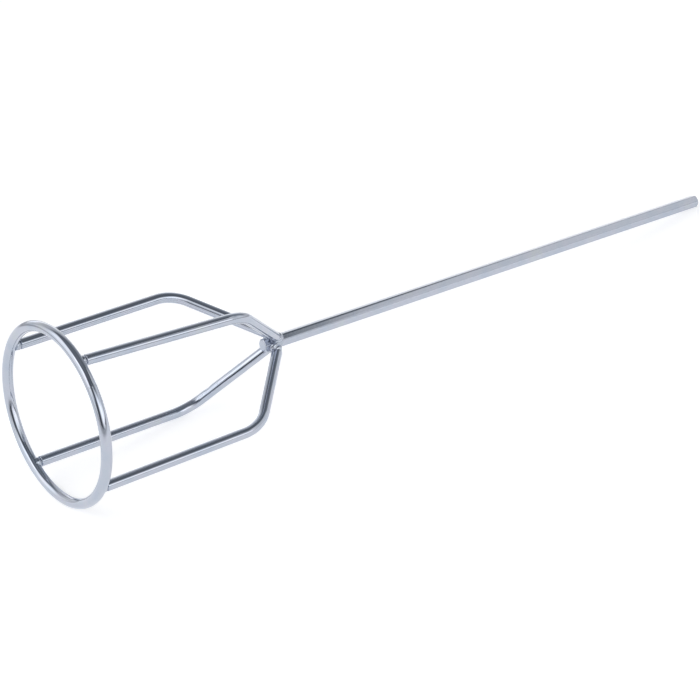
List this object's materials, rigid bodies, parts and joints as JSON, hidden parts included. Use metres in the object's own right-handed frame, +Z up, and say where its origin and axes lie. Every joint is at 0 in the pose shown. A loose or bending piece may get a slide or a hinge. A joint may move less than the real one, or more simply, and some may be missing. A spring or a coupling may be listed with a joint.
{
  "type": "mortar mixing paddle",
  "caption": "Drill-driven mortar mixing paddle: an open cage of bent round rods between a wire hoop and a plain hexagonal shank, zinc plated.",
  "frame": {"origin": "centre of the bounding box at ground level, with the paddle lying on the ground on the hoop's rim and the shank's tip", "axes": "+X from the hoop towards the shank's tip, along the ground; +Z up; +Y to the left of the shank. The paddle's own axis dips 5.93 degrees below +X"},
  "size_m": [0.5427, 0.12, 0.1194],
  "materials": {
    "zinc_plated_steel": "gloss",
    "plated_weld_metal": "satin"
  },
  "bodies": {
    "root": {"shank": "zinc_plated_steel", "ring": "zinc_plated_steel", "ring_seam_weld": "plated_weld_metal", "cage_rod_1": "zinc_plated_steel", "cage_rod_2": "zinc_plated_steel", "cage_rod_3": "zinc_plated_steel", "cage_rod_4": "zinc_plated_steel", "ring_weld_1": "plated_weld_metal", "ring_weld_2": "plated_weld_metal", "ring_weld_3": "plated_weld_metal", "ring_weld_4": "plated_weld_metal", "hub_weld_1": "plated_weld_metal", "hub_weld_2": "plated_weld_metal", "hub_weld_3": "plated_weld_metal", "hub_weld_4": "plated_weld_metal"}
  },
  "joints": []
}
